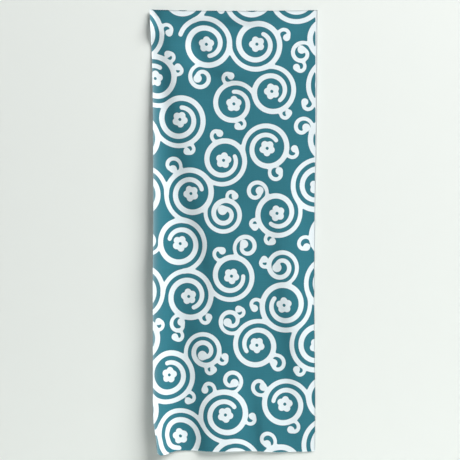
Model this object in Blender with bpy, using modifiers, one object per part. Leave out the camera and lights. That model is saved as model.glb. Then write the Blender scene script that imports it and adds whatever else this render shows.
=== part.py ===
"""Tenugui towel: one cut length of plain-weave cotton, held along its top edge and hanging.

Metres, +Z up. The dyed face looks along -Y and +X is on its right. The origin is the middle of
the top edge, at the middle of the cloth's thickness, where the cloth is held.

The cloth is followed by two lengths: across, from its left edge, and down, from its top edge.
Each fold is a strip where the cloth tilts, and its place, breadth and tilt are given at a few
levels down the cloth. The forward reach at any place is the sum of the tilts beside it.
"""
import math
from collections import namedtuple

import bmesh
import bpy
import numpy as np

NODE_NAME = "towel_cloth"
COLLECTION_NAME = "tenugui towel"

CLOTH_WIDTH = 0.353
CLOTH_LENGTH = 0.922
CLOTH_THICKNESS = 0.0012

COLUMNS = 44
ROWS = 46
FINE_STEPS = 240

# The top strip stays flat where it is held, and the folds open out of it below.
HELD_STRIP = 0.020
FOLDS_OPEN_OVER = 0.045
# The top edge sags between its two corners.
LEFT_CORNER_RISE = 0.0026
RIGHT_CORNER_RISE = 0.0016

TEAL = (0.037, 0.181, 0.227)
CLOTH_ROUGHNESS = 0.92

# Where the two side edges hang at each level, and how far the right one stands forward.
# The folds and the loose weave draw the cloth in below its held edge.
Level = namedtuple("Level", "down left right right_forward")
LEVELS = (
    Level(0.000, -0.1755, 0.1753, 0.0000),
    Level(0.020, -0.1748, 0.1750, 0.0000),
    Level(0.062, -0.1727, 0.1745, 0.0010),
    Level(0.125, -0.1700, 0.1741, 0.0015),
    Level(0.210, -0.1686, 0.1737, 0.0004),
    Level(0.293, -0.1676, 0.1730, -0.0010),
    Level(0.398, -0.1669, 0.1708, -0.0006),
    Level(0.608, -0.1679, 0.1690, 0.0004),
    Level(0.655, -0.1678, 0.1693, 0.0010),
    Level(0.720, -0.1676, 0.1699, -0.0008),
    Level(0.817, -0.1673, 0.1710, -0.0008),
    Level(0.880, -0.1662, 0.1709, -0.0010),
    Level(0.908, -0.1654, 0.1709, -0.0012),
    Level(0.922, -0.1618, 0.1709, -0.0012),
)

# Tilt is in degrees: above nought the cloth comes forward to the right, below it falls back.
Section = namedtuple("Section", "down across half_breadth tilt")
FOLDS = {
    "lifted left edge": (
        Section(0.040, 0.003, 0.009, 0.0),
        Section(0.070, 0.003, 0.009, -6.0),
        Section(0.110, 0.003, 0.010, -13.0),
        Section(0.160, 0.004, 0.013, -27.0),
        Section(0.230, 0.005, 0.016, -30.0),
        Section(0.290, 0.009, 0.019, -28.0),
        Section(0.400, 0.017, 0.027, -28.0),
        Section(0.600, 0.021, 0.030, -28.0),
        Section(0.760, 0.022, 0.031, -28.0),
        Section(0.880, 0.022, 0.032, -33.0),
        Section(0.922, 0.023, 0.031, -37.0),
    ),
    "long ridge": (
        Section(0.030, 0.022, 0.013, 0.0),
        Section(0.080, 0.026, 0.017, 13.0),
        Section(0.120, 0.031, 0.017, 15.0),
        Section(0.190, 0.039, 0.016, 16.0),
        Section(0.290, 0.058, 0.018, 13.0),
        Section(0.370, 0.076, 0.020, 15.0),
        Section(0.440, 0.092, 0.019, 17.0),
        Section(0.500, 0.111, 0.016, 18.0),
        Section(0.560, 0.123, 0.015, 14.0),
        Section(0.640, 0.130, 0.016, 9.0),
        Section(0.720, 0.122, 0.016, 0.0),
    ),
    "lower ridge": (
        Section(0.540, 0.080, 0.018, 0.0),
        Section(0.620, 0.082, 0.020, 10.0),
        Section(0.680, 0.087, 0.021, 15.0),
        Section(0.740, 0.095, 0.022, 15.0),
        Section(0.800, 0.104, 0.022, 16.0),
        Section(0.860, 0.108, 0.020, 21.0),
        Section(0.922, 0.110, 0.017, 26.0),
    ),
    "crest beyond the ridge": (
        Section(0.620, 0.200, 0.026, 0.0),
        Section(0.760, 0.198, 0.024, -6.0),
        Section(0.840, 0.196, 0.022, -8.0),
        Section(0.922, 0.194, 0.020, -8.0),
    ),
    "low right ridge": (
        Section(0.700, 0.226, 0.016, 0.0),
        Section(0.800, 0.228, 0.016, 6.0),
        Section(0.870, 0.232, 0.016, 10.0),
        Section(0.922, 0.234, 0.016, 9.0),
    ),
    "low right lean": (
        Section(0.560, 0.250, 0.090, 0.0),
        Section(0.760, 0.250, 0.090, -3.5),
        Section(0.922, 0.260, 0.090, -5.0),
    ),
    "right crease": (
        Section(0.340, 0.245, 0.012, 0.0),
        Section(0.440, 0.262, 0.012, 10.0),
        Section(0.560, 0.276, 0.013, 9.0),
        Section(0.650, 0.288, 0.014, 14.0),
        Section(0.740, 0.299, 0.015, 14.0),
        Section(0.840, 0.308, 0.015, 8.0),
        Section(0.922, 0.306, 0.014, 3.0),
    ),
    "right edge": (
        Section(0.040, 0.318, 0.030, 0.0),
        Section(0.140, 0.318, 0.030, -3.0),
        Section(0.330, 0.320, 0.030, -6.0),
        Section(0.440, 0.324, 0.026, -11.0),
        Section(0.600, 0.330, 0.024, -13.0),
        Section(0.700, 0.338, 0.022, -9.0),
        Section(0.800, 0.340, 0.022, -3.0),
        Section(0.922, 0.340, 0.022, -1.0),
    ),
    "upper hollow": (
        Section(0.030, 0.076, 0.014, 0.0),
        Section(0.080, 0.082, 0.016, -9.0),
        Section(0.180, 0.100, 0.020, -3.0),
        Section(0.260, 0.108, 0.020, 0.0),
    ),
    "upper ridge": (
        Section(0.024, 0.102, 0.014, 0.0),
        Section(0.070, 0.108, 0.016, 13.0),
        Section(0.120, 0.128, 0.020, 7.0),
        Section(0.160, 0.185, 0.024, 5.0),
        Section(0.250, 0.200, 0.026, 0.0),
    ),
}

# The left corner isn't quite held: it curls forward within the held strip.
CORNER_FOLDS = {
    "curled corner": (
        Section(0.000, 0.003, 0.006, 0.0),
        Section(0.012, 0.004, 0.008, -30.0),
        Section(0.028, 0.004, 0.009, -36.0),
        Section(0.050, 0.004, 0.008, -14.0),
        Section(0.075, 0.003, 0.008, 0.0),
    ),
    "corner dip": (
        Section(0.000, 0.020, 0.010, 0.0),
        Section(0.012, 0.020, 0.010, 14.0),
        Section(0.024, 0.019, 0.009, 10.0),
        Section(0.040, 0.022, 0.010, 0.0),
    ),
}

# How far the bottom edge is drawn up at each place across, and the stretch that this is carried over.
Lift = namedtuple("Lift", "across height")
BOTTOM_LIFTS = (
    Lift(0.000, 0.0024),
    Lift(0.004, 0.0006),
    Lift(0.009, 0.0000),
    Lift(0.026, 0.0000),
    Lift(0.036, 0.0014),
    Lift(0.052, 0.0036),
    Lift(0.066, 0.0032),
    Lift(0.088, 0.0014),
    Lift(0.105, 0.0006),
    Lift(0.140, 0.0012),
    Lift(0.190, 0.0026),
    Lift(0.240, 0.0022),
    Lift(0.275, 0.0020),
    Lift(0.315, 0.0012),
    Lift(0.346, 0.0008),
    Lift(0.353, 0.0018),
)
LIFTED_STRETCH = 0.10

# Below the held strip the cloth steps back, as far across as this, and comes forward again slowly.
STEP_DEPTH = 0.0038
STEP_TOP, STEP_BREADTH, STEP_RETURN = 0.012, 0.024, 0.120
STEP_FIRST, STEP_LAST, STEP_FADE = 0.070, 0.230, 0.060


def remove_old_objects():
    for old in list(bpy.data.objects):
        bpy.data.objects.remove(old, do_unlink=True)


def eased(share):
    """A smooth step from nought to one, for a number or an array."""
    held = np.clip(share, 0.0, 1.0)
    return held * held * (3.0 - 2.0 * held)


def column_at(rows, column, down):
    """A table's column at a level, carried smoothly from row to row and held past its ends."""
    levels = [row.down for row in rows]
    values = [getattr(row, column) for row in rows]
    if down <= levels[0]:
        return values[0]
    if down >= levels[-1]:
        return values[-1]
    after = next(index for index, level in enumerate(levels) if level > down)
    before = after - 1
    share = (down - levels[before]) / (levels[after] - levels[before])
    blended = 0.5 * (share + float(eased(share)))
    return values[before] + (values[after] - values[before]) * blended


def folded_tilt(folds, across, down):
    """The tilt in radians that some folds give at each place across one level."""
    degrees = np.zeros_like(across)
    for sections in folds.values():
        middle = column_at(sections, "across", down)
        half_breadth = column_at(sections, "half_breadth", down)
        tilt = column_at(sections, "tilt", down)
        degrees += tilt * np.exp(-(((across - middle) / half_breadth) ** 2))
    return np.radians(degrees)


def tilt_along(across, down):
    """The cloth's whole tilt in radians at each place across one level."""
    opened = float(eased((down - HELD_STRIP) / FOLDS_OPEN_OVER))
    return opened * folded_tilt(FOLDS, across, down) + folded_tilt(CORNER_FOLDS, across, down)


def running_sum(values, step):
    """The integral of evenly spaced values, from nought at the first."""
    return np.concatenate(([0.0], np.cumsum(0.5 * (values[1:] + values[:-1]) * step)))


def level_shape(down):
    """Fine places across one level: their length across, sideways place and forward reach."""
    across = np.linspace(0.0, CLOTH_WIDTH, FINE_STEPS + 1)
    step = CLOTH_WIDTH / FINE_STEPS
    tilt = tilt_along(across, down)
    left = column_at(LEVELS, "left", down)
    right = column_at(LEVELS, "right", down)
    spread = running_sum(np.cos(tilt), step)
    sideways = left + (right - left) * spread / spread[-1]
    rise = running_sum(np.sin(tilt), step)
    forward = column_at(LEVELS, "right_forward", down) + rise - rise[-1] - step_back(across, down)
    return across, sideways, forward


def step_back(across, down):
    """How far the cloth steps back below the held strip at each place across one level."""
    shows = eased((across - STEP_FIRST) / STEP_FADE + 0.5) * eased((STEP_LAST - across) / STEP_FADE + 0.5)
    back = eased((down - STEP_TOP) / STEP_BREADTH) - eased((down - STEP_TOP - STEP_BREADTH) / STEP_RETURN)
    return STEP_DEPTH * float(back) * shows


def bottom_lift(across, down):
    """How far each place across one level is drawn up, which grows towards the bottom edge."""
    places = np.array([lift.across for lift in BOTTOM_LIFTS])
    heights = np.array([lift.height for lift in BOTTOM_LIFTS])
    after = np.clip(np.searchsorted(places, across), 1, len(places) - 1)
    share = eased((across - places[after - 1]) / (places[after] - places[after - 1]))
    height = heights[after - 1] + (heights[after] - heights[after - 1]) * share
    return height * float(eased((down - CLOTH_LENGTH) / LIFTED_STRETCH + 1.0))


def top_edge_rise(across):
    """How far the top edge stands above its own middle."""
    from_middle = 2.0 * across / CLOTH_WIDTH - 1.0
    corner = RIGHT_CORNER_RISE if from_middle > 0.0 else LEFT_CORNER_RISE
    return corner * from_middle * from_middle


def sheet_mesh():
    """The cloth's middle surface as an open grid, facing -Y."""
    sheet = bmesh.new()
    bmesh.ops.create_grid(sheet, x_segments=COLUMNS, y_segments=ROWS, size=0.5)
    by_level = {}
    for vert in sheet.verts:
        by_level.setdefault(round((0.5 - vert.co.y) * ROWS), []).append(vert)
    for level, verts in by_level.items():
        down = CLOTH_LENGTH * level / ROWS
        fine_across, fine_sideways, fine_forward = level_shape(down)
        fine_lift = bottom_lift(fine_across, down)
        hung = 1.0 - level / ROWS
        for vert in verts:
            across = CLOTH_WIDTH * (vert.co.x + 0.5)
            sideways = float(np.interp(across, fine_across, fine_sideways))
            forward = float(np.interp(across, fine_across, fine_forward))
            lift = float(np.interp(across, fine_across, fine_lift))
            height = top_edge_rise(across) * hung - down + lift
            vert.co = (sideways, -forward, height)
    bmesh.ops.recalc_face_normals(sheet, faces=sheet.faces[:])
    if sum(face.normal.y for face in sheet.faces) > 0.0:
        bmesh.ops.reverse_faces(sheet, faces=sheet.faces[:])
    mesh = bpy.data.meshes.new(NODE_NAME)
    sheet.to_mesh(mesh)
    sheet.free()
    return mesh


def cotton_material():
    material = bpy.data.materials.new("dyed cotton")
    material.use_nodes = True
    shader = material.node_tree.nodes["Principled BSDF"]
    shader.inputs["Base Color"].default_value = (*TEAL, 1.0)
    shader.inputs["Roughness"].default_value = CLOTH_ROUGHNESS
    shader.inputs["Metallic"].default_value = 0.0
    return material


def make_towel():
    collection = bpy.data.collections.new(COLLECTION_NAME)
    bpy.context.scene.collection.children.link(collection)
    towel = bpy.data.objects.new(NODE_NAME, sheet_mesh())
    collection.objects.link(towel)
    towel.data.materials.append(cotton_material())
    towel.data.shade_smooth()
    thicken = towel.modifiers.new("cloth thickness", "SOLIDIFY")
    thicken.thickness = CLOTH_THICKNESS
    thicken.offset = 0.0
    thicken.use_even_offset = True


remove_old_objects()
make_towel()
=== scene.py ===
"""Tenugui towel: a cut length of dyed cotton, held along its top edge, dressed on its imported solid.

Metres, +Z up. The dyed face looks along -Y and +X is on its right. The cloth is followed by two
lengths: across, from its left edge, and down, from its top edge. Its folds, its vine print and its
weave are all worked out in those two lengths.
"""

import math
import random
from collections import namedtuple

import bpy
import numpy as np
from bpy.props import FloatProperty, FloatVectorProperty, IntProperty, PointerProperty
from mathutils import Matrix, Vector, noise


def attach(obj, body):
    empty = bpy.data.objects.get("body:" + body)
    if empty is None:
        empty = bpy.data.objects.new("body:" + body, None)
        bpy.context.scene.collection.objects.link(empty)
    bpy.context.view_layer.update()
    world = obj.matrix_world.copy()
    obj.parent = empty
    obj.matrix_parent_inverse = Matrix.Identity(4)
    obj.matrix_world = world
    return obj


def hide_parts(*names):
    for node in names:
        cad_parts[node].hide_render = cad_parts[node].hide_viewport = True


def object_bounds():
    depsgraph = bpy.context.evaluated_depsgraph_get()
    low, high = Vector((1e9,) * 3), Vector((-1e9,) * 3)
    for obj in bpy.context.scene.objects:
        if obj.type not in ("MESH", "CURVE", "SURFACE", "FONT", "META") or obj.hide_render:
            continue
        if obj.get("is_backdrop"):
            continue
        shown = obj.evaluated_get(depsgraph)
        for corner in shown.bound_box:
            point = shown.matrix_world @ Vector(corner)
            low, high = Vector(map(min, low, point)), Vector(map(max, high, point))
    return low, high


bl_info = {
    "name": "Tenugui Towel",
    "version": (1, 0, 0),
    "blender": (4, 5, 0),
    "location": "3D View > Sidebar > Towel",
    "description": "A hung cotton towel with a dyed vine print, its cut ends and a plain studio",
    "category": "Object",
}

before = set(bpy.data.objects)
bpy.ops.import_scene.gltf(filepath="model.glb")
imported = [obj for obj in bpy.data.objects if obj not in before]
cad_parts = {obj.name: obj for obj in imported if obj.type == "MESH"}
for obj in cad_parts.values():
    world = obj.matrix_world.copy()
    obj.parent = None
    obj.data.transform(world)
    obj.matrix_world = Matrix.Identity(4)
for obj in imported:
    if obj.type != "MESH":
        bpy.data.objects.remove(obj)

CLOTH_NODE = "towel_cloth"
CLOTH_MIDDLE = -0.46

# The names under which the meshes keep the print and the flat cloth's coordinates.
PRINT_DISTANCE = "print distance"
FLAT_MAP = "flat cloth"
BAKE_MAP = "OFBake"
BAKE_MARGIN = 0.01

# The top strip stays flat where it is held, and the folds open out of it below.
HELD_STRIP = 0.020
FOLDS_OPEN_OVER = 0.045

# How much higher the top corners stand than the middle of the held edge.
LEFT_CORNER_RISE = 0.0026
RIGHT_CORNER_RISE = 0.0016

# The step across at which a level's folds are added up.
FINE_STEP = 0.0012

# Where the two side edges hang at each level, and how far the right one stands forward.
Level = namedtuple("Level", "down left right right_forward")
LEVELS = (
    Level(0.000, -0.1755, 0.1753, 0.0000),
    Level(0.020, -0.1748, 0.1750, 0.0002),
    Level(0.062, -0.1727, 0.1745, 0.0026),
    Level(0.125, -0.1700, 0.1741, 0.0042),
    Level(0.210, -0.1686, 0.1737, 0.0024),
    Level(0.293, -0.1676, 0.1730, 0.0004),
    Level(0.398, -0.1669, 0.1708, 0.0000),
    Level(0.608, -0.1679, 0.1690, 0.0008),
    Level(0.655, -0.1678, 0.1693, 0.0010),
    Level(0.720, -0.1676, 0.1699, -0.0010),
    Level(0.817, -0.1673, 0.1710, -0.0010),
    Level(0.860, -0.1657, 0.1709, -0.0012),
    Level(0.882, -0.1626, 0.1709, -0.0022),
    Level(0.896, -0.1600, 0.1709, -0.0028),
    Level(0.908, -0.1594, 0.1709, -0.0032),
    Level(0.922, -0.1575, 0.1709, -0.0036),
)

# Tilt is in degrees: above nought the cloth comes forward to the right, below it falls back.
Section = namedtuple("Section", "down across half_breadth tilt")
FOLDS = {
    "lifted left edge": (
        Section(0.040, 0.003, 0.009, 0.0),
        Section(0.070, 0.003, 0.009, -2.0),
        Section(0.118, 0.003, 0.010, -10.0),
        Section(0.164, 0.004, 0.013, -28.0),
        Section(0.230, 0.005, 0.016, -31.0),
        Section(0.290, 0.009, 0.019, -28.0),
        Section(0.400, 0.017, 0.027, -28.0),
        Section(0.600, 0.021, 0.030, -28.0),
        Section(0.760, 0.021, 0.030, -32.0),
        Section(0.880, 0.021, 0.030, -40.0),
        Section(0.922, 0.022, 0.029, -45.0),
    ),
    "long ridge": (
        Section(0.030, 0.022, 0.013, 0.0),
        Section(0.080, 0.026, 0.017, 13.0),
        Section(0.120, 0.031, 0.017, 15.0),
        Section(0.190, 0.039, 0.016, 16.0),
        Section(0.290, 0.058, 0.018, 13.0),
        Section(0.370, 0.076, 0.020, 15.0),
        Section(0.440, 0.092, 0.019, 17.0),
        Section(0.500, 0.111, 0.016, 18.0),
        Section(0.560, 0.123, 0.015, 14.0),
        Section(0.640, 0.130, 0.016, 9.0),
        Section(0.720, 0.126, 0.016, 4.0),
        Section(0.800, 0.124, 0.016, 3.0),
        Section(0.860, 0.122, 0.016, 2.0),
        Section(0.922, 0.120, 0.014, 0.0),
    ),
    "lower ridge": (
        Section(0.540, 0.080, 0.018, 0.0),
        Section(0.620, 0.082, 0.020, 10.0),
        Section(0.680, 0.090, 0.023, 14.0),
        Section(0.740, 0.101, 0.026, 13.5),
        Section(0.800, 0.103, 0.025, 15.0),
        Section(0.860, 0.103, 0.021, 21.0),
        Section(0.922, 0.104, 0.016, 27.0),
    ),
    "crest beyond the ridge": (
        Section(0.620, 0.200, 0.026, 0.0),
        Section(0.760, 0.198, 0.024, -6.0),
        Section(0.840, 0.196, 0.022, -8.0),
        Section(0.922, 0.194, 0.020, -8.0),
    ),
    "low right ridge": (
        Section(0.700, 0.226, 0.014, 0.0),
        Section(0.800, 0.228, 0.012, 8.0),
        Section(0.870, 0.231, 0.010, 17.0),
        Section(0.922, 0.232, 0.010, 15.0),
    ),
    "low right lean": (
        Section(0.560, 0.250, 0.090, 0.0),
        Section(0.760, 0.250, 0.090, -3.5),
        Section(0.922, 0.260, 0.090, -5.0),
    ),
    "right crease": (
        Section(0.340, 0.245, 0.012, 0.0),
        Section(0.440, 0.262, 0.012, 10.0),
        Section(0.560, 0.276, 0.013, 9.0),
        Section(0.650, 0.288, 0.014, 14.0),
        Section(0.740, 0.299, 0.015, 14.0),
        Section(0.840, 0.308, 0.015, 8.0),
        Section(0.922, 0.306, 0.014, 3.0),
    ),
    "right edge": (
        Section(0.040, 0.318, 0.030, 0.0),
        Section(0.140, 0.318, 0.030, -3.0),
        Section(0.330, 0.320, 0.030, -6.0),
        Section(0.440, 0.324, 0.026, -11.0),
        Section(0.600, 0.330, 0.024, -13.0),
        Section(0.700, 0.338, 0.022, -9.0),
        Section(0.800, 0.340, 0.022, -3.0),
        Section(0.922, 0.340, 0.022, -1.0),
    ),
    "upper hollow": (
        Section(0.030, 0.076, 0.014, 0.0),
        Section(0.080, 0.082, 0.016, -9.0),
        Section(0.180, 0.100, 0.020, -3.0),
        Section(0.260, 0.108, 0.020, 0.0),
    ),
    "upper ridge": (
        Section(0.024, 0.102, 0.014, 0.0),
        Section(0.070, 0.108, 0.016, 13.0),
        Section(0.120, 0.128, 0.020, 7.0),
        Section(0.160, 0.185, 0.024, 5.0),
        Section(0.250, 0.200, 0.026, 0.0),
    ),
}

# The left corner isn't quite held: it curls forward within the held strip.
CORNER_FOLDS = {
    "curled corner": (
        Section(0.000, 0.003, 0.006, -12.0),
        Section(0.010, 0.004, 0.008, -33.0),
        Section(0.028, 0.004, 0.009, -38.0),
        Section(0.052, 0.004, 0.009, -25.0),
        Section(0.080, 0.003, 0.009, 0.0),
    ),
    "corner dip": (
        Section(0.000, 0.020, 0.010, 0.0),
        Section(0.012, 0.020, 0.010, 14.0),
        Section(0.024, 0.019, 0.009, 10.0),
        Section(0.040, 0.022, 0.010, 0.0),
    ),
}

# How far the bottom edge is drawn up at each place across. Below nought it hangs lower.
Lift = namedtuple("Lift", "across height")
BOTTOM_LIFTS = (
    Lift(0.000, 0.0030),
    Lift(0.004, -0.0004),
    Lift(0.009, -0.0024),
    Lift(0.024, -0.0026),
    Lift(0.036, -0.0002),
    Lift(0.052, 0.0020),
    Lift(0.066, 0.0018),
    Lift(0.088, 0.0020),
    Lift(0.105, 0.0020),
    Lift(0.140, 0.0020),
    Lift(0.190, 0.0024),
    Lift(0.240, 0.0008),
    Lift(0.275, -0.0008),
    Lift(0.315, -0.0002),
    Lift(0.346, -0.0004),
    Lift(0.353, 0.0014),
)

# The stretch above the bottom edge over which the lift grows.
LIFTED_STRETCH = 0.10

# A level crease: its height forward of the cloth, half its breadth, and the stretch that it shows on.
Crease = namedtuple("Crease", "down height half_breadth first last")
CREASES = (
    Crease(0.4660, 0.00045, 0.0026, 0.075, 0.205),
    Crease(0.2330, 0.00022, 0.0030, 0.030, 0.330),
    Crease(0.6980, 0.00022, 0.0030, 0.030, 0.330),
)
CREASE_FADE = 0.030

# Below the held strip the cloth steps back and comes forward again slowly. The step runs from the
# first to the last of these places across, and fades out at both.
STEP_DEPTH = 0.0038
STEP_TOP, STEP_BREADTH, STEP_RETURN = 0.012, 0.024, 0.120
STEP_FIRST, STEP_LAST, STEP_FADE = 0.070, 0.230, 0.060

# Soft unevenness of the hanging cloth: how many bumps a metre across and down, and their height.
Ripple = namedtuple("Ripple", "across down height seed")
RIPPLES = (
    Ripple(14.0, 5.0, 0.00055, 3.1),
    Ripple(34.0, 16.0, 0.00018, 7.7),
)


def eased(share):
    """A smooth step from nought to one, for a number or an array."""
    held = np.clip(share, 0.0, 1.0)
    return held * held * (3.0 - 2.0 * held)


def column_at(rows, column, down):
    """A table's column at a level, carried smoothly from row to row and held past its ends."""
    levels = [row.down for row in rows]
    values = [getattr(row, column) for row in rows]
    if down <= levels[0]:
        return values[0]
    if down >= levels[-1]:
        return values[-1]
    after = next(index for index, level in enumerate(levels) if level > down)
    before = after - 1
    share = (down - levels[before]) / (levels[after] - levels[before])
    blended = 0.5 * (share + float(eased(share)))
    return values[before] + (values[after] - values[before]) * blended


def folded_tilt(folds, across, down):
    """The tilt in radians that some folds give at each place across one level."""
    degrees = np.zeros_like(across)
    for sections in folds.values():
        middle = column_at(sections, "across", down)
        half_breadth = column_at(sections, "half_breadth", down)
        tilt = column_at(sections, "tilt", down)
        degrees += tilt * np.exp(-(((across - middle) / half_breadth) ** 2))
    return np.radians(degrees)


def tilt_along(across, down):
    """The cloth's whole tilt in radians at each place across one level."""
    opened = float(eased((down - HELD_STRIP) / FOLDS_OPEN_OVER))
    return opened * folded_tilt(FOLDS, across, down) + folded_tilt(CORNER_FOLDS, across, down)


def running_sum(values, step):
    """The integral of evenly spaced values, from nought at the first."""
    return np.concatenate(([0.0], np.cumsum(0.5 * (values[1:] + values[:-1]) * step)))


def level_shape(width, down):
    """Fine places across one level: their length across, sideways place and forward reach."""
    steps = int(round(width / FINE_STEP))
    across = np.linspace(0.0, width, steps + 1)
    tilt = tilt_along(across, down)
    left = column_at(LEVELS, "left", down)
    right = column_at(LEVELS, "right", down)
    spread = running_sum(np.cos(tilt), width / steps)
    sideways = left + (right - left) * spread / spread[-1]
    rise = running_sum(np.sin(tilt), width / steps)
    forward = column_at(LEVELS, "right_forward", down) + rise - rise[-1]
    return across, sideways, forward


def crease_height(across, down):
    """How far the level creases stand forward at each place across one level."""
    height = np.zeros_like(across)
    for crease in CREASES:
        from_first = eased((across - crease.first) / CREASE_FADE)
        to_last = eased((crease.last - across) / CREASE_FADE)
        level = math.exp(-(((down - crease.down) / crease.half_breadth) ** 2))
        height += crease.height * (from_first * to_last) * level
    return height


def step_back(across, down):
    """How far the cloth steps back below the held strip at each place across one level."""
    from_first = eased((across - STEP_FIRST) / STEP_FADE + 0.5)
    to_last = eased((STEP_LAST - across) / STEP_FADE + 0.5)
    gone_back = eased((down - STEP_TOP) / STEP_BREADTH)
    come_forward = eased((down - STEP_TOP - STEP_BREADTH) / STEP_RETURN)
    return STEP_DEPTH * float(gone_back - come_forward) * (from_first * to_last)


def ripple_height(across, down):
    """Soft unevenness at each place across one level, which starts below the held strip."""
    opened = float(eased((down - HELD_STRIP) / FOLDS_OPEN_OVER))
    height = np.zeros_like(across)
    for ripple in RIPPLES:
        bumps = [
            noise.noise(Vector((place * ripple.across, down * ripple.down, ripple.seed)))
            for place in across
        ]
        height += opened * ripple.height * np.array(bumps)
    return height


def bottom_lift(size, across, down):
    """How far each place across one level is drawn up, which grows towards the bottom edge."""
    places = np.array([lift.across for lift in BOTTOM_LIFTS])
    heights = np.array([lift.height for lift in BOTTOM_LIFTS])
    after = np.clip(np.searchsorted(places, across), 1, len(places) - 1)
    share = eased((across - places[after - 1]) / (places[after] - places[after - 1]))
    height = heights[after - 1] + (heights[after] - heights[after - 1]) * share
    return height * float(eased((down - size.length) / LIFTED_STRETCH + 1.0))


def hung_level(size, across, down):
    """Where the middle of the cloth hangs at each place across one level, as an array of points."""
    fine_across, fine_sideways, fine_forward = level_shape(size.width, down)
    sideways = np.interp(across, fine_across, fine_sideways)
    forward = np.interp(across, fine_across, fine_forward)
    forward = forward - step_back(across, down)
    forward = forward + crease_height(across, down) + ripple_height(across, down)
    from_middle = 2.0 * across / size.width - 1.0
    corner = np.where(from_middle > 0.0, RIGHT_CORNER_RISE, LEFT_CORNER_RISE)
    height = corner * from_middle**2 * (1.0 - down / size.length) - down
    height = height + bottom_lift(size, across, down)
    return np.stack([sideways, -forward, height], axis=1)


# The vine print: scrolls that branch from each other and wind inward, the largest round a blossom.
TURN_BACK_ANGLE = 137.5
ANGLE_STEP = 5
FIRST_BRANCH, LAST_BRANCH = 0.06, 0.80
PAST_EDGE = 0.036
SCROLL_SHRINK = 0.90
FIRST_ACROSS, FIRST_DOWN, FIRST_START = 0.118, 0.070, 200.0

# A scroll's line: from one turn to the next and the bead at its end in half lines, and how much
# thinner it is at its ends than the half line, and how much it swells between them.
TURN_PITCH = 3.75
LEAST_TURNS = 0.70
BEAD_RADIUS = 2.15
LINE_AT_ENDS = 0.86
LINE_SWELL = 0.24

# Where the line ends: clear of the blossom, in its radii, or within the bead, in the bead's.
CLEAR_OF_BLOSSOM = 1.50
WITHIN_BEAD = 0.9

# A blossom's petals, in its outer radii: how far out their middles stand, and their own radius.
PETALS = 5
PETAL_PLACE = 0.56
PETAL_RADIUS = 0.44

# The print's chart: how far from a shape it counts, the step along a line and its least points,
# and how softly two shapes join.
PRINT_REACH = 0.010
STROKE_STEP = 0.0012
LEAST_STROKE_POINTS = 8
JOIN_SOFTNESS = 0.0030


def half_line(style, radius):
    """Half the width of the line of a scroll of that radius."""
    return style.finest_half_line + style.half_line_growth * radius


class Scroll:
    """One winding stroke of the vine, about its middle, from where it leaves its parent."""

    def __init__(self, style, across, down, radius, turn, start):
        self.across = across
        self.down = down
        self.radius = radius
        self.turn = turn
        self.start = start
        self.half_line = half_line(style, radius)
        self.blossoms = radius > style.smallest_flowered
        self.bead = BEAD_RADIUS * self.half_line
        self.end = CLEAR_OF_BLOSSOM * style.blossom if self.blossoms else WITHIN_BEAD * self.bead
        self.turns = max((radius - self.end) / (TURN_PITCH * self.half_line), LEAST_TURNS)

    def stroke(self):
        """The line's places and half widths, from its outer end to its inner end."""
        count = int(self.turns * math.tau * self.radius / STROKE_STEP) + LEAST_STROKE_POINTS
        share = np.linspace(0.0, 1.0, count)
        angle = np.radians(self.start + self.turn * 360.0 * self.turns * share)
        radius = self.radius + (self.end - self.radius) * share
        across = self.across + radius * np.cos(angle)
        down = self.down + radius * np.sin(angle)
        half = self.half_line * (LINE_AT_ENDS + LINE_SWELL * np.sin(math.pi * share))
        return list(zip(across, down, half))


def grow_vine(size, style):
    """Scrolls that branch from scrolls, the largest first, as far as each has room on the cloth."""
    scrolls = [Scroll(style, FIRST_ACROSS, FIRST_DOWN, style.largest_scroll, 1, FIRST_START)]
    radius = style.largest_scroll
    while radius > style.smallest_scroll:
        half = half_line(style, radius)
        for index, parent in enumerate(scrolls):
            angles = np.arange(0, 360, ANGLE_STEP) + TURN_BACK_ANGLE * index
            gone = (parent.turn * (angles - parent.start)) % 360 / 360
            wound = np.minimum(gone / parent.turns, 1.0)
            reach = parent.radius + (parent.end - parent.radius) * wound + radius
            across = parent.across + reach * np.cos(np.radians(angles))
            down = parent.down + reach * np.sin(np.radians(angles))
            free = (gone > FIRST_BRANCH) & (gone < LAST_BRANCH)
            free &= (across > -PAST_EDGE) & (across < size.width + PAST_EDGE)
            free &= (down > -PAST_EDGE) & (down < size.length + PAST_EDGE)
            for other in scrolls:
                if other is not parent:
                    room = radius + other.radius + half + other.half_line + style.line_gap
                    free &= np.hypot(across - other.across, down - other.down) > room
            best = np.flatnonzero(free)
            if len(best):
                pick = best[0]
                start = angles[pick] + 180.0
                scrolls.append(Scroll(style, across[pick], down[pick], radius, -parent.turn, start))
        radius *= SCROLL_SHRINK
    return scrolls


def joined(first, second):
    """Two distance charts in one, with soft inner corners where their shapes meet."""
    blend = np.maximum(JOIN_SOFTNESS - np.abs(first - second), 0.0) / JOIN_SOFTNESS
    return np.minimum(first, second) - 0.25 * JOIN_SOFTNESS * blend**2


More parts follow.
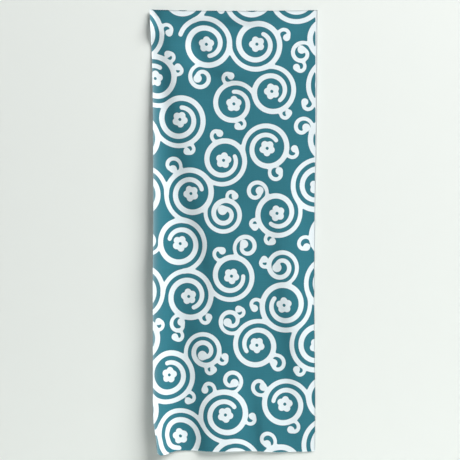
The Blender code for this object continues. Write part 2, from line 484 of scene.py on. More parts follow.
class PrintChart:
    """The print's distance chart over the flat cloth: below nought where the cotton stays undyed."""

    def __init__(self, across, down):
        self.across = across
        self.down = down
        self.distance = np.full((len(down), len(across)), PRINT_REACH)

    def near(self, across, down, reach):
        """The slices of the chart round a place, down and across."""
        first, last = np.searchsorted(self.across, (across - reach, across + reach))
        top, bottom = np.searchsorted(self.down, (down - reach, down + reach))
        return slice(top, bottom), slice(first, last)

    def from_place(self, window, across, down):
        """Distances from a place at every crossing of a window of the chart."""
        levels, places = window
        return np.hypot(self.across[places][None, :] - across, self.down[levels][:, None] - down)

    def line(self, scroll):
        """The distance chart of one scroll's line alone, and the window that it fills."""
        window = self.near(scroll.across, scroll.down, scroll.radius + 2.0 * PRINT_REACH)
        alone = np.full(self.distance[window].shape, PRINT_REACH)
        for across, down, half in scroll.stroke():
            np.minimum(alone, self.from_place(window, across, down) - half, out=alone)
        return window, alone

    def blossom(self, window, scroll, style):
        """The distance chart of round petals with a dyed eye, at a scroll's middle."""
        petals = np.full(self.distance[window].shape, PRINT_REACH)
        for petal in range(PETALS):
            angle = math.radians(scroll.start) + math.tau * petal / PETALS
            across = scroll.across + PETAL_PLACE * style.blossom * math.cos(angle)
            down = scroll.down + PETAL_PLACE * style.blossom * math.sin(angle)
            from_petal = self.from_place(window, across, down) - PETAL_RADIUS * style.blossom
            np.minimum(petals, from_petal, out=petals)
        eye = self.from_place(window, scroll.across, scroll.down) - style.eye
        return np.maximum(petals, -eye)

    def add(self, scroll, style):
        """One scroll with its blossom or its bead, joined to what is there."""
        window, alone = self.line(scroll)
        if scroll.blossoms:
            alone = np.minimum(alone, self.blossom(window, scroll, style))
        else:
            across, down, _ = scroll.stroke()[-1]
            alone = joined(alone, self.from_place(window, across, down) - scroll.bead)
        self.distance[window] = joined(self.distance[window], alone)


def draw_print(size, style, across, down):
    """The print's distance at every crossing of the given places across and levels down."""
    chart = PrintChart(across, down)
    for scroll in grow_vine(size, style):
        chart.add(scroll, style)
    margin = style.right_margin * np.clip(1.0 - down / style.margin_ends, 0.0, 1.0)
    from_margin = (size.width - across)[None, :] - margin[:, None]
    return np.where(margin[:, None] > 0.0, np.minimum(chart.distance, from_margin), chart.distance)


class Nodes:
    """Adds shader nodes to one material, with plain words for the sums that the cloth needs."""

    def __init__(self, material):
        material.use_nodes = True
        self.tree = material.node_tree
        self.shader = self.tree.nodes["Principled BSDF"]

    def add(self, kind, **settings):
        node = self.tree.nodes.new(kind)
        for name, value in settings.items():
            setattr(node, name, value)
        return node

    def feed(self, socket, value):
        if isinstance(value, bpy.types.NodeSocket):
            self.tree.links.new(value, socket)
        else:
            socket.default_value = value

    def math(self, operation, first, second=0.0, third=0.0):
        node = self.add("ShaderNodeMath", operation=operation)
        for socket, value in zip(node.inputs, (first, second, third)):
            self.feed(socket, value)
        return node.outputs[0]

    def flat_place(self):
        """The sockets that hold the length across and the length down the flat cloth, in metres."""
        parts = self.add("ShaderNodeSeparateXYZ")
        self.feed(parts.inputs[0], self.add("ShaderNodeUVMap", uv_map=FLAT_MAP).outputs[0])
        return parts.outputs[0], parts.outputs[1]

    def noise(self, across, down, per_metre, detail=2.0):
        """Noise from nought to one, with its number of bumps a metre across and down."""
        place = self.add("ShaderNodeCombineXYZ")
        self.feed(place.inputs[0], self.math("MULTIPLY", across, per_metre[0]))
        self.feed(place.inputs[1], self.math("MULTIPLY", down, per_metre[1]))
        texture = self.add("ShaderNodeTexNoise", noise_dimensions="2D")
        self.feed(texture.inputs["Vector"], place.outputs[0])
        self.feed(texture.inputs["Scale"], 1.0)
        self.feed(texture.inputs["Detail"], detail)
        return texture.outputs[0]

    def uneven(self, across, down, per_metre, depth, detail=2.0):
        """Noise about nought, with the given depth from its lowest to its highest."""
        bumps = self.noise(across, down, per_metre, detail)
        return self.math("MULTIPLY_ADD", bumps, depth, -0.5 * depth)

    def ramp(self, value, low, high, to_low=0.0, to_high=1.0):
        """A smooth step from one number to another as a value goes from low to high."""
        node = self.add("ShaderNodeMapRange", interpolation_type="SMOOTHSTEP")
        for socket, number in zip(node.inputs, (value, low, high, to_low, to_high)):
            self.feed(socket, number)
        return node.outputs[0]

    def mix(self, share, first, second):
        """A colour between two, by the share of the second."""
        node = self.add("ShaderNodeMix", data_type="RGBA", blend_type="MIX")
        self.feed(node.inputs[0], share)
        self.feed(node.inputs[6], first)
        self.feed(node.inputs[7], second)
        return node.outputs[2]

    def bright(self, colour, value):
        """A colour made lighter or darker by a number."""
        node = self.add("ShaderNodeVectorMath", operation="SCALE")
        self.feed(node.inputs[0], colour)
        self.feed(node.inputs["Scale"], value)
        return node.outputs[0]


def rgba(colour):
    return (*colour, 1.0)


# Unevenness of the dye and the yarns: bumps a metre across and down, and how strongly each shows.
CREEP_BUMPS = (1300.0, 1300.0)
CLOUD_BUMPS, CLOUD_DEPTH, CLOUD_DETAIL = (11.0, 7.0), 0.16, 3.0
STREAK_BUMPS, STREAK_DEPTH = (1100.0, 16.0), 0.12
BAR_BUMPS, BAR_DEPTH = (14.0, 950.0), 0.14
UNDYED_YARNS = 0.30
SLUB_RELIEF = 2.4

# The left selvedge is paler, partly from less dye and partly from a painted highlight where the lifted
# edge faces the light. It is less pale above the first of these levels, by this share, than below the
# second.
PALE_AND_HIGHLIGHT_FROM, PALE_AND_HIGHLIGHT_FULL, PALE_AND_HIGHLIGHT_ABOVE = 0.08, 0.22, 0.3

# How far a yarn rises over the one that it crosses, in its radii, and how the weave's height turns
# into light and roughness: low and high, and the value at each.
YARN_RISE = 0.6
WEAVE_SHADE = (0.2, 1.3, 0.86, 1.04)
WEAVE_ROUGHNESS = (0.0, 1.6, 0.96, 0.84)


def weave_height(nodes, across, down, weave):
    """Plain weave: warp and weft pass over each other in turn. The height is in yarn radii."""
    warp_wave = nodes.math("SINE", nodes.math("MULTIPLY", across, math.pi / weave.warp_pitch))
    weft_wave = nodes.math("SINE", nodes.math("MULTIPLY", down, math.pi / weave.weft_pitch))
    warp_round = nodes.math("ABSOLUTE", warp_wave)
    weft_round = nodes.math("ABSOLUTE", weft_wave)
    warp_rise = nodes.math("MULTIPLY", nodes.math("SIGN", warp_wave), weft_wave)
    weft_rise = nodes.math("MULTIPLY", nodes.math("SIGN", weft_wave), warp_wave)
    warp = nodes.math("ADD", warp_round, nodes.math("MULTIPLY", warp_rise, YARN_RISE))
    weft = nodes.math("SUBTRACT", weft_round, nodes.math("MULTIPLY", weft_rise, YARN_RISE))
    return nodes.math("MAXIMUM", warp, weft)


def cotton_material(name, style, weave, size, dye_strength):
    """Dyed cotton: the print, its soft dye edge, uneven yarns, paler selvedges and the weave."""
    material = bpy.data.materials.new(name)
    nodes = Nodes(material)
    across, down = nodes.flat_place()

    # The dye creeps a little along the yarns, so the print's edge isn't quite even.
    creep = nodes.uneven(across, down, CREEP_BUMPS, style.dye_creep)
    distance = nodes.add("ShaderNodeAttribute", attribute_name=PRINT_DISTANCE).outputs["Fac"]
    edge = nodes.math("ADD", distance, creep)
    dyed = nodes.ramp(edge, -style.edge_softness, style.edge_softness)

    # Dye pools in a narrow band beside the undyed line.
    pooled = nodes.ramp(edge, 0.0, style.pool_width, style.pool_depth, 0.0)
    cloudy = nodes.uneven(across, down, CLOUD_BUMPS, CLOUD_DEPTH, CLOUD_DETAIL)
    streaks = nodes.uneven(across, down, STREAK_BUMPS, STREAK_DEPTH)
    bars = nodes.uneven(across, down, BAR_BUMPS, BAR_DEPTH)
    yarns = nodes.math("ADD", streaks, bars)
    dye_light = nodes.math("ADD", nodes.math("ADD", yarns, 1.0), cloudy)
    dye_light = nodes.math("SUBTRACT", dye_light, pooled)
    cotton_light = nodes.math("MULTIPLY_ADD", yarns, UNDYED_YARNS, 1.0)
    dye_colour = nodes.bright(tuple(style.dye), dye_light)
    cotton_colour = nodes.bright(tuple(style.cotton), cotton_light)

    # The tight selvedges take less dye. At the left one the paleness is partly a painted highlight on
    # the lifted edge, so it is weaker near the top.
    fade = nodes.math("EXPONENT", nodes.math("DIVIDE", across, -style.left_pale_and_highlight_breadth))
    highlight_lower_down = nodes.ramp(down, PALE_AND_HIGHLIGHT_FROM, PALE_AND_HIGHLIGHT_FULL, PALE_AND_HIGHLIGHT_ABOVE, 1.0)
    # The left paleness: part real selvedge, part painted highlight where the lifted edge meets the
    # light.
    left_pale_and_highlight = nodes.math("MULTIPLY", nodes.math("MULTIPLY", fade, style.left_paleness_and_highlight), highlight_lower_down)
    to_right = nodes.math("SUBTRACT", size.width, across)
    from_right = nodes.ramp(to_right, 0.0, style.right_selvedge, style.right_paleness, 0.0)
    paleness = nodes.math("MAXIMUM", left_pale_and_highlight, from_right)
    share = nodes.math("MULTIPLY", dyed, nodes.math("SUBTRACT", dye_strength, paleness))
    colour = nodes.mix(share, cotton_colour, dye_colour)

    weave_wave = weave_height(nodes, across, down, weave)
    slubs = nodes.math("MULTIPLY", yarns, SLUB_RELIEF)
    relief = nodes.math("ADD", weave_wave, slubs)
    shaded = nodes.ramp(weave_wave, *WEAVE_SHADE)
    nodes.feed(nodes.shader.inputs["Base Color"], nodes.bright(colour, shaded))
    nodes.feed(nodes.shader.inputs["Roughness"], nodes.ramp(weave_wave, *WEAVE_ROUGHNESS))
    bump = nodes.add("ShaderNodeBump")
    nodes.feed(bump.inputs["Strength"], weave.bump_strength)
    nodes.feed(bump.inputs["Distance"], weave.yarn_radius)
    nodes.feed(bump.inputs["Height"], relief)
    nodes.feed(nodes.shader.inputs["Normal"], bump.outputs[0])
    nodes.shader.inputs["Specular IOR Level"].default_value = 0.25
    nodes.shader.inputs["Sheen Weight"].default_value = 0.10
    nodes.shader.inputs["Sheen Roughness"].default_value = 0.55
    return material


def put_in_scene(name, mesh):
    piece = bpy.data.objects.new(name, mesh)
    bpy.context.scene.collection.objects.link(piece)
    return piece


def grid_faces(columns, rows, first):
    """Corner numbers of a grid's faces, whose points run row by row from the number first."""
    corner = np.arange(rows - 1)[:, None] * columns + np.arange(columns - 1)[None, :] + first
    corner = corner.ravel()
    return np.stack([corner, corner + columns, corner + columns + 1, corner + 1], axis=1)


def rim_faces(columns, rows):
    """Corner numbers of the faces that join the front grid's border to the back grid's."""
    top = np.arange(columns)
    right = np.arange(1, rows) * columns + columns - 1
    bottom = (rows - 1) * columns + np.arange(columns - 2, -1, -1)
    left = np.arange(rows - 2, -1, -1) * columns
    ring = np.concatenate([top, right, bottom, left])
    front, ahead = ring[:-1], ring[1:]
    back = columns * rows
    return np.stack([front, ahead, ahead + back, front + back], axis=1)


def point_normals(points):
    """Forward normals of a grid of points, from their neighbours across and down."""
    along = np.gradient(points, axis=1)
    below = np.gradient(points, axis=0)
    normal = np.cross(along, -below)
    normal /= np.linalg.norm(normal, axis=2, keepdims=True)
    return np.where(normal[..., 1:2] > 0.0, -normal, normal)


def mesh_from(name, points, faces):
    mesh = bpy.data.meshes.new(name)
    mesh.from_pydata(points.tolist(), [], faces)
    mesh.update()
    return mesh


def corner_points(mesh):
    """The number of the point at each face corner."""
    numbers = np.empty(len(mesh.loops), np.int32)
    mesh.loops.foreach_get("vertex_index", numbers)
    return numbers


def set_corner_map(mesh, name, by_corner):
    layer = mesh.uv_layers.new(name=name)
    layer.data.foreach_set("uv", by_corner.astype(np.float32).ravel())


def set_print_distance(mesh, distance):
    layer = mesh.attributes.new(PRINT_DISTANCE, "FLOAT", "POINT")
    layer.data.foreach_set("value", distance.astype(np.float32).ravel())


def add_cloth_materials(mesh, settings):
    size, style, weave = settings.size, settings.vine, settings.weave
    mesh.materials.append(cotton_material("dyed cotton face", style, weave, size, 1.0))
    mesh.materials.append(cotton_material("dyed cotton back", style, weave, size, style.back_strength))


def make_cloth(settings):
    """The cloth: a thin closed sheet, front and back, with the print charted at every point."""
    size = settings.size
    across = np.linspace(0.0, size.width, size.columns)
    down = np.linspace(0.0, size.length, size.rows)
    middle = np.stack([hung_level(size, across, level) for level in down])
    offset = point_normals(middle) * (0.5 * size.thickness)
    points = np.concatenate([(middle + offset).reshape(-1, 3), (middle - offset).reshape(-1, 3)])
    count = size.columns * size.rows
    front = grid_faces(size.columns, size.rows, 0)
    back = grid_faces(size.columns, size.rows, count)[:, ::-1]
    rim = rim_faces(size.columns, size.rows)[:, ::-1]
    mesh = mesh_from("cloth", points, np.concatenate([front, back, rim]).tolist())

    places, levels = np.meshgrid(across, down)
    flat = np.stack([places.ravel(), levels.ravel()], axis=1)
    corners = corner_points(mesh)
    set_corner_map(mesh, FLAT_MAP, flat[corners % count])
    set_corner_map(mesh, BAKE_MAP, bake_places(size, flat, corners, count, len(front)))
    distance = draw_print(size, settings.vine, across, down)
    set_print_distance(mesh, np.concatenate([distance.ravel(), distance.ravel()]))
    add_cloth_materials(mesh, settings)
    mesh.polygons.foreach_set("material_index", [0] * len(front) + [1] * (len(back) + len(rim)))
    mesh.shade_smooth()
    return put_in_scene("cloth", mesh)


# A thread's rings stand at these shares of its length. The first is within the cloth, and it tapers
# towards the last by this share of its radius.
RING_SHARES = (-0.3, 0.5, 1.0)
RING_POINTS = 3
THREAD_POINTS = 9
THREAD_TAPER = 0.4


def thread_rings(root, out, along, normal, length, leans, radius):
    """Three rings of three points that run out from a thread's root and lean away as they go."""
    rings = []
    for share in RING_SHARES:
        bent = share * abs(share)
        leaning = (along * leans[0] + normal * leans[1]) * (length * bent)
        middle = root + out * (length * share) + leaning
        for corner in range(RING_POINTS):
            angle = math.tau * corner / RING_POINTS
            around = along * math.cos(angle) + normal * math.sin(angle)
            rings.append(middle + around * (radius * (1.0 - THREAD_TAPER * max(share, 0.0))))
    return rings


def thread_faces(first):
    """Corner numbers of a thread's closed skin, whose nine points start from the number first."""
    faces = [(first + 2, first + 1, first), (first + 6, first + 7, first + 8)]
    for ring in (0, 3):
        for corner in range(3):
            ahead = (corner + 1) % 3
            here, above = first + ring, first + ring + 3
            faces.append((here + corner, here + ahead, above + ahead, above + corner))
    return faces


def unit(vectors):
    return vectors / np.linalg.norm(vectors, axis=1, keepdims=True)


def make_cut_ends(settings, material):
    """The short ends of the warp threads that stand out of both cut ends, dyed as the cloth is."""
    size, ends = settings.size, settings.cut_ends
    draw = random.Random(ends.seed)
    across = (np.arange(ends.threads) + 0.5) * size.width / ends.threads
    levels = np.array([0.0, size.length])
    charted = draw_print(size, settings.vine, across, levels)
    points, faces, flat, distance = [], [], [], []
    for down, inward, charted_row in zip(levels, (ends.longest, -ends.longest), charted):
        edge = hung_level(size, across, down)
        out = unit(edge - hung_level(size, across, down + inward))
        along = unit(np.gradient(edge, axis=0))
        normal = unit(np.cross(along, out))
        for place in range(ends.threads):
            length = ends.shortest + (ends.longest - ends.shortest) * draw.random() ** 2
            leans = (draw.uniform(-ends.lean, ends.lean), draw.uniform(-ends.lean, ends.lean))
            at_root = (edge[place], out[place], along[place], normal[place])
            faces += thread_faces(len(points))
            points += thread_rings(*at_root, length, leans, ends.radius)
            flat += [(across[place], down)] * THREAD_POINTS
            distance += [charted_row[place]] * THREAD_POINTS
    mesh = mesh_from("cut ends", np.array(points), faces)
    corners = corner_points(mesh)
    set_corner_map(mesh, FLAT_MAP, np.array(flat)[corners])
    set_print_distance(mesh, np.array(distance))
    mesh.materials.append(material)
    return put_in_scene("cut_ends", mesh)


def bake_places(size, flat, corners, count, front_faces):
    """The baking map: the front fills the left half, the back and the rim the right half."""
    share = flat[corners % count] / np.array([size.width, size.length])
    half = np.where(np.arange(len(corners)) < 4 * front_faces, 0.0, 0.5)
    across = half + BAKE_MARGIN + share[:, 0] * (0.5 - 2 * BAKE_MARGIN)
    up = BAKE_MARGIN + (1 - share[:, 1]) * (1 - 2 * BAKE_MARGIN)
    return np.stack([across, up], axis=1)


class ClothSize(bpy.types.PropertyGroup):
    """The flat cloth's sizes and its mesh"""

    width: FloatProperty(
        name="Cloth width", description="Flat width between selvedges",
        default=0.353, unit="LENGTH",
    )
    length: FloatProperty(
        name="Cloth length", description="Flat length between cut ends",
        default=0.922, unit="LENGTH",
    )
    thickness: FloatProperty(
        name="Cloth thickness", description="Thickness of the cotton",
        default=0.0005, unit="LENGTH",
    )
    columns: IntProperty(
        name="Points across", description="Mesh points across the cloth",
        default=137, min=3,
    )
    rows: IntProperty(name="Points down", description="Mesh points down the cloth", default=356, min=3)


class VineStyle(bpy.types.PropertyGroup):
    """The vine print, its dye and the selvedges"""

    dye: FloatVectorProperty(
        name="Dye", description="Colour of the dyed ground",
        subtype="COLOR", size=3,
        default=(0.0236, 0.169, 0.218),
    )
    cotton: FloatVectorProperty(
        name="Cotton", description="Colour of the undyed cotton",
        subtype="COLOR", size=3,
        default=(0.775, 0.85, 0.88),
    )
    largest_scroll: FloatProperty(
        name="Largest scroll", description="Outer radius of the largest scrolls",
        default=0.058, unit="LENGTH",
    )
    smallest_scroll: FloatProperty(
        name="Smallest scroll", description="Outer radius below which no curl is added",
        default=0.0105, unit="LENGTH",
    )
    smallest_flowered: FloatProperty(
        name="Smallest flowered scroll", description="Scrolls above this radius end in a blossom",
        default=0.045, unit="LENGTH",
    )
    blossom: FloatProperty(
        name="Blossom radius", description="Outer radius of a blossom",
        default=0.0168, unit="LENGTH",
    )
    eye: FloatProperty(
        name="Blossom eye", description="Radius of a blossom's dyed eye",
        default=0.0034, unit="LENGTH",
    )
    finest_half_line: FloatProperty(
        name="Finest half line", description="Half the width of the finest line",
        default=0.0029, unit="LENGTH",
    )
    half_line_growth: FloatProperty(
        name="Line growth", description="Half line width added for each metre of radius",
        default=0.041,
    )
    line_gap: FloatProperty(
        name="Line gap", description="Least dyed gap between two scrolls",
        default=0.0036, unit="LENGTH",
    )
    dye_creep: FloatProperty(
        name="Dye creep", description="How far dye strays along a yarn",
        default=0.0006, unit="LENGTH",
    )
    edge_softness: FloatProperty(
        name="Edge softness", description="Half the breadth of the print's edge",
        default=0.00030, unit="LENGTH",
    )
    pool_width: FloatProperty(
        name="Pool width", description="Breadth of the darker dye beside a line",
        default=0.0022, unit="LENGTH",
    )
    pool_depth: FloatProperty(name="Pool depth", description="How much darker that dye is", default=0.08)
    right_margin: FloatProperty(
        name="Right margin", description="Undyed margin at the top of the right edge",
        default=0.0040, unit="LENGTH",
    )
    margin_ends: FloatProperty(
        name="Margin ends", description="How far down the right margin runs out",
        default=0.70, unit="LENGTH",
    )
    # The breadth of the left selvedge's paleness, partly real and partly a painted highlight.
    left_pale_and_highlight_breadth: FloatProperty(
        name="Left selvedge", description="Breadth of the paler left selvedge",
        default=0.0060, unit="LENGTH",
    )
    right_selvedge: FloatProperty(
        name="Right selvedge", description="Breadth of the paler right selvedge",
        default=0.0025, unit="LENGTH",
    )
    # Dye missing at the left selvedge, partly real and partly a painted highlight on the lifted edge.
    left_paleness_and_highlight: FloatProperty(
        name="Left paleness", description="Dye missing at the left selvedge",
        default=0.22,
    )
    right_paleness: FloatProperty(
        name="Right paleness", description="Dye missing at the right selvedge",
        default=0.20,
    )
    back_strength: FloatProperty(
        name="Back strength", description="How strongly the dye shows on the back",
        default=0.90,
    )


class Weave(bpy.types.PropertyGroup):
    """The yarns of the plain weave"""

    warp_pitch: FloatProperty(
        name="Warp pitch", description="Distance between warp yarns",
        default=0.00044, precision=5, unit="LENGTH",
    )
    weft_pitch: FloatProperty(
        name="Weft pitch", description="Distance between weft yarns",
        default=0.00048, precision=5, unit="LENGTH",
    )
    yarn_radius: FloatProperty(
        name="Yarn radius", description="Relief of the weave",
        default=0.00012, precision=5, unit="LENGTH",
    )
    bump_strength: FloatProperty(
        name="Weave strength", description="Strength of the weave's relief",
        default=0.6,
    )


class CutEnds(bpy.types.PropertyGroup):
    """The thread ends at top and bottom"""

    threads: IntProperty(
        name="Threads", description="Warp threads that show at each cut end",
        default=760, min=1,
    )
    shortest: FloatProperty(
        name="Shortest", description="Least length of a thread's end",
        default=0.0003, precision=5, unit="LENGTH",
    )
    longest: FloatProperty(
        name="Longest", description="Greatest length of a thread's end",
        default=0.0016, precision=5, unit="LENGTH",
    )
    radius: FloatProperty(
        name="Thread radius", description="Radius of a warp thread",
        default=0.00010, precision=5, unit="LENGTH",
    )
    lean: FloatProperty(
        name="Lean", description="How far the ends lean, as a share of their length",
        default=0.5,
    )
    seed: IntProperty(name="Seed", description="Draws other lengths and leans", default=11)


class Studio(bpy.types.PropertyGroup):
    """The floor, the backdrop, the lights and the camera"""

    paper: FloatVectorProperty(
        name="Backdrop", description="Colour of the backdrop and floor",
        subtype="COLOR", size=3,
        default=(0.80, 0.832, 0.80),
    )
    floor_drop: FloatProperty(
        name="Floor drop", description="Height of the held edge above the floor",
        default=1.30, unit="LENGTH",
    )
    floor_full: FloatProperty(
        name="Floor full", description="How far from its middle the floor starts to fade out",
        default=0.6, unit="LENGTH",
    )
    floor_gone: FloatProperty(
        name="Floor gone", description="How far from its middle the floor has faded out",
        default=2.4, unit="LENGTH",
    )
    backdrop_full: FloatProperty(
        name="Backdrop full", description="How far from its middle the backdrop starts to fade out",
        default=0.85, unit="LENGTH",
    )
    backdrop_gone: FloatProperty(
        name="Backdrop gone", description="How far from its middle the backdrop has faded out",
        default=2.0, unit="LENGTH",
    )
    gap_behind: FloatProperty(
        name="Gap behind", description="From the cloth's rearmost point back to the backdrop",
        default=0.0002, precision=5, unit="LENGTH",
    )
    camera_distance: FloatProperty(
        name="Camera distance", description="From the backdrop to the camera",
        default=2.0, unit="LENGTH",
    )
    frame_breadth: FloatProperty(
        name="Frame breadth", description="Breadth of the backdrop that the picture takes in",
        default=0.9651, unit="LENGTH",
    )
    aim_across: FloatProperty(
        name="Aim across", description="Sideways place of the picture's middle",
        default=-0.00766, unit="LENGTH",
    )
    aim_height: FloatProperty(
        name="Aim height", description="Height of the picture's middle",
        default=-0.4583, unit="LENGTH",
    )
    key_power: FloatProperty(
        name="Key light", description="Power of the large soft key light",
        default=748.0, unit="POWER",
    )
    key_width: FloatProperty(
        name="Key width", description="Breadth of the key light",
        default=4.4, unit="LENGTH",
    )
    key_height: FloatProperty(
        name="Key height", description="Height of the key light",
        default=4.4, unit="LENGTH",
    )
    key_distance: FloatProperty(
        name="Key distance", description="From the cloth to the key light",
        default=7.0, unit="LENGTH",
    )
    key_turn: FloatProperty(
        name="Key turn", description="How far right of the cloth's front the key light stands",
        default=math.radians(51.0), subtype="ANGLE",
    )
    key_rise: FloatProperty(
        name="Key rise", description="How high the key light stands over the cloth",
        default=math.radians(39.0), subtype="ANGLE",
    )
    back_power: FloatProperty(
        name="Back light", description="Power of the soft light behind the cloth",
        default=600.0, unit="POWER",
    )
    room_colour: FloatVectorProperty(
        name="Room colour", description="Colour of the even light from all round",
        subtype="COLOR", size=3,
        default=(0.97, 0.98, 0.98),
    )
    room_strength: FloatProperty(
        name="Room light", description="Strength of the even light from all round",
        default=0.224,
    )
    surround_glow: FloatProperty(
        name="Surround", description="Brightness of the pale surround that other views see",
        default=0.97,
    )


class TowelSettings(bpy.types.PropertyGroup):
    """All the settings of the towel"""

    size: PointerProperty(type=ClothSize)
    vine: PointerProperty(type=VineStyle)
    weave: PointerProperty(type=Weave)
    cut_ends: PointerProperty(type=CutEnds)
    studio: PointerProperty(type=Studio)


class TOWEL_OT_cloth(bpy.types.Operator):
    """Make the hung cloth with its print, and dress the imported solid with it"""

    bl_idname = "towel.cloth"
    bl_label = "Cloth"

    def execute(self, context):
        settings = context.scene.towel
        cloth = make_cloth(settings)
        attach(cloth, "root")
        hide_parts(CLOTH_NODE)
        return {"FINISHED"}


class TOWEL_OT_cut_ends(bpy.types.Operator):
    """Make the thread ends at top and bottom"""

    bl_idname = "towel.cut_ends"
    bl_label = "Cut ends"

    def execute(self, context):
        settings = context.scene.towel
        cloth = bpy.data.objects["cloth"]
        threads = make_cut_ends(settings, cloth.data.materials[0])
        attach(threads, "root")
        return {"FINISHED"}


# The stage's own sizes, far larger than what the picture takes in.
STAGE_BREADTH = 16.0
BACKDROP_HEIGHT = 6.0
SURROUND_RADIUS = 11.0
SENSOR_WIDTH = 36.0


def stage_plane(name, width, height, place, turn):
    bpy.ops.mesh.primitive_plane_add(size=1.0, location=place, rotation=turn)
    plane = bpy.context.object
    plane.name = name
    plane.scale = (width, height, 1.0)
    plane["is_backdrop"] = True
    return plane


def paper_material(name, colour):
    material = bpy.data.materials.new(name)
    nodes = Nodes(material)
    nodes.shader.inputs["Base Color"].default_value = rgba(colour)
    nodes.shader.inputs["Roughness"].default_value = 0.95
    nodes.shader.inputs["Specular IOR Level"].default_value = 0.1
    return material


def fade_out(material, middle, full_to, gone_from, one_sided=False):
    """Fades a sheet out between two distances from its middle. One-sided, it is clear from behind."""
    nodes = Nodes(material)
    surface = nodes.add("ShaderNodeNewGeometry")
    from_middle = nodes.add("ShaderNodeVectorMath", operation="DISTANCE")
    nodes.feed(from_middle.inputs[0], surface.outputs["Position"])
    nodes.feed(from_middle.inputs[1], middle)
    clearness = nodes.ramp(from_middle.outputs["Value"], full_to, gone_from)
    if one_sided:
        clearness = nodes.math("MAXIMUM", clearness, surface.outputs["Backfacing"])
    choose = nodes.add("ShaderNodeMixShader")
    nodes.feed(choose.inputs[0], clearness)
    nodes.feed(choose.inputs[1], nodes.shader.outputs[0])
    nodes.feed(choose.inputs[2], nodes.add("ShaderNodeBsdfTransparent").outputs[0])
    nodes.feed(nodes.tree.nodes["Material Output"].inputs["Surface"], choose.outputs[0])
    return material


def soft_light(name, studio, power, turn):
    """A large soft light above the cloth that looks at its middle, turned round from its front."""
    light = bpy.data.lights.new(name, "AREA")
    light.shape = "RECTANGLE"
    light.size = studio.key_width
    light.size_y = studio.key_height
    light.energy = power
    lamp = bpy.data.objects.new(name, light)
    middle = Vector((0.0, 0.0, CLOTH_MIDDLE))
    level = studio.key_distance * math.cos(studio.key_rise)
    height = studio.key_distance * math.sin(studio.key_rise)
    away = Vector((level * math.sin(turn), -level * math.cos(turn), height))
    lamp.location = middle + away
    lamp.rotation_euler = (-away).to_track_quat("-Z", "Y").to_euler()
    bpy.context.scene.collection.objects.link(lamp)
    return lamp


def light_only(lamp, pieces):
    """The lamp lights those pieces and nothing else."""
    lit = bpy.data.collections.new(lamp.name + " lights")
    for piece in pieces:
        lit.objects.link(piece)
    lamp.light_linking.receiver_collection = lit


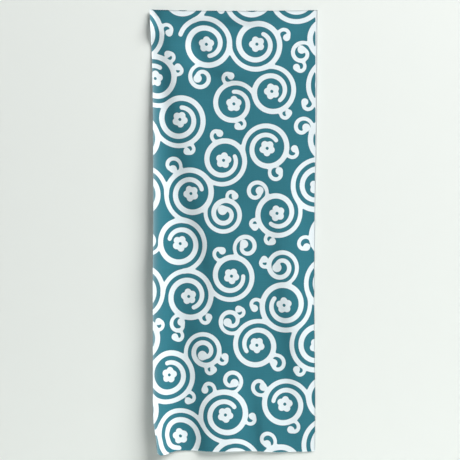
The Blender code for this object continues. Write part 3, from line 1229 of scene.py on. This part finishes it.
def surround_shell(studio):
    """A pale shell far behind everything, which the camera sees and no light reaches or leaves."""
    bpy.ops.mesh.primitive_uv_sphere_add(
        segments=96, ring_count=48, radius=SURROUND_RADIUS, location=(0.0, 0.0, CLOTH_MIDDLE)
    )
    shell = bpy.context.object
    shell.name = "surround"
    material = bpy.data.materials.new("pale surround")
    nodes = Nodes(material)
    nodes.shader.inputs["Base Color"].default_value = rgba((0.0, 0.0, 0.0))
    nodes.shader.inputs["Specular IOR Level"].default_value = 0.0
    nodes.shader.inputs["Emission Color"].default_value = rgba(studio.paper)
    nodes.shader.inputs["Emission Strength"].default_value = studio.surround_glow
    shell.data.materials.append(material)
    shell.visible_diffuse = False
    shell.visible_glossy = False
    shell.visible_transmission = False
    shell.visible_shadow = False
    shell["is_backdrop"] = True


class TOWEL_OT_stage(bpy.types.Operator):
    """Make the floor, the backdrop, the soft light and the camera"""

    bl_idname = "towel.stage"
    bl_label = "Stage"

    def execute(self, context):
        studio = context.scene.towel.studio
        below = (0.0, 0.0, -studio.floor_drop)
        floor = stage_plane("floor", STAGE_BREADTH, STAGE_BREADTH, below, (0.0, 0.0, 0.0))
        paper = paper_material("pale floor", studio.paper)
        paper = fade_out(paper, below, studio.floor_full, studio.floor_gone)
        floor.data.materials.append(paper)

        backdrop_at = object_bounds()[1][1] + studio.gap_behind
        behind_cloth = (0.0, backdrop_at, 0.5 * BACKDROP_HEIGHT - studio.floor_drop)
        upright = (math.pi / 2, 0.0, 0.0)
        backdrop = stage_plane("backdrop", STAGE_BREADTH, BACKDROP_HEIGHT, behind_cloth, upright)
        paper = paper_material("pale backdrop", studio.paper)
        middle = (0.0, backdrop_at, CLOTH_MIDDLE)
        paper = fade_out(paper, middle, studio.backdrop_full, studio.backdrop_gone, one_sided=True)
        backdrop.data.materials.append(paper)
        backdrop.visible_diffuse = False
        backdrop.visible_shadow = False

        soft_light("key light", studio, studio.key_power, studio.key_turn)
        behind = soft_light("back light", studio, studio.back_power, math.pi - studio.key_turn)
        light_only(behind, [bpy.data.objects["cloth"]])
        surround_shell(studio)

        world = bpy.data.worlds.new("room light")
        world.use_nodes = True
        background = world.node_tree.nodes["Background"]
        background.inputs["Color"].default_value = rgba(studio.room_colour)
        background.inputs["Strength"].default_value = studio.room_strength
        context.scene.world = world

        lens = bpy.data.cameras.new("camera")
        lens.sensor_width = SENSOR_WIDTH
        lens.lens = SENSOR_WIDTH * studio.camera_distance / studio.frame_breadth
        camera = bpy.data.objects.new("camera", lens)
        camera.location = (studio.aim_across, backdrop_at - studio.camera_distance, studio.aim_height)
        camera.rotation_euler = upright
        context.scene.collection.objects.link(camera)
        context.scene.camera = camera
        context.scene.view_settings.view_transform = "Standard"
        return {"FINISHED"}


class TOWEL_PT_panel(bpy.types.Panel):
    """Lists the towel's pieces and its stage"""

    bl_idname = "TOWEL_PT_panel"
    bl_label = "Towel"
    bl_space_type = "VIEW_3D"
    bl_region_type = "UI"
    bl_category = "Towel"

    def draw(self, context):
        settings = context.scene.towel
        for title, group, operator in (
            ("Cloth", settings.size, "towel.cloth"),
            ("Print", settings.vine, None),
            ("Weave", settings.weave, None),
            ("Cut ends", settings.cut_ends, "towel.cut_ends"),
            ("Studio", settings.studio, "towel.stage"),
        ):
            box = self.layout.box()
            box.label(text=title)
            for name in group.__annotations__:
                box.prop(group, name)
            if operator:
                box.operator(operator)


CLASSES = (
    ClothSize,
    VineStyle,
    Weave,
    CutEnds,
    Studio,
    TowelSettings,
    TOWEL_OT_cloth,
    TOWEL_OT_cut_ends,
    TOWEL_OT_stage,
    TOWEL_PT_panel,
)


def register():
    for item in CLASSES:
        bpy.utils.register_class(item)
    bpy.types.Scene.towel = PointerProperty(type=TowelSettings)


def unregister():
    del bpy.types.Scene.towel
    for item in reversed(CLASSES):
        bpy.utils.unregister_class(item)


def main():
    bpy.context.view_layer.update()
    register()
    bpy.ops.towel.cloth()
    bpy.ops.towel.cut_ends()
    bpy.ops.towel.stage()


if __name__ == "__main__":
    main()
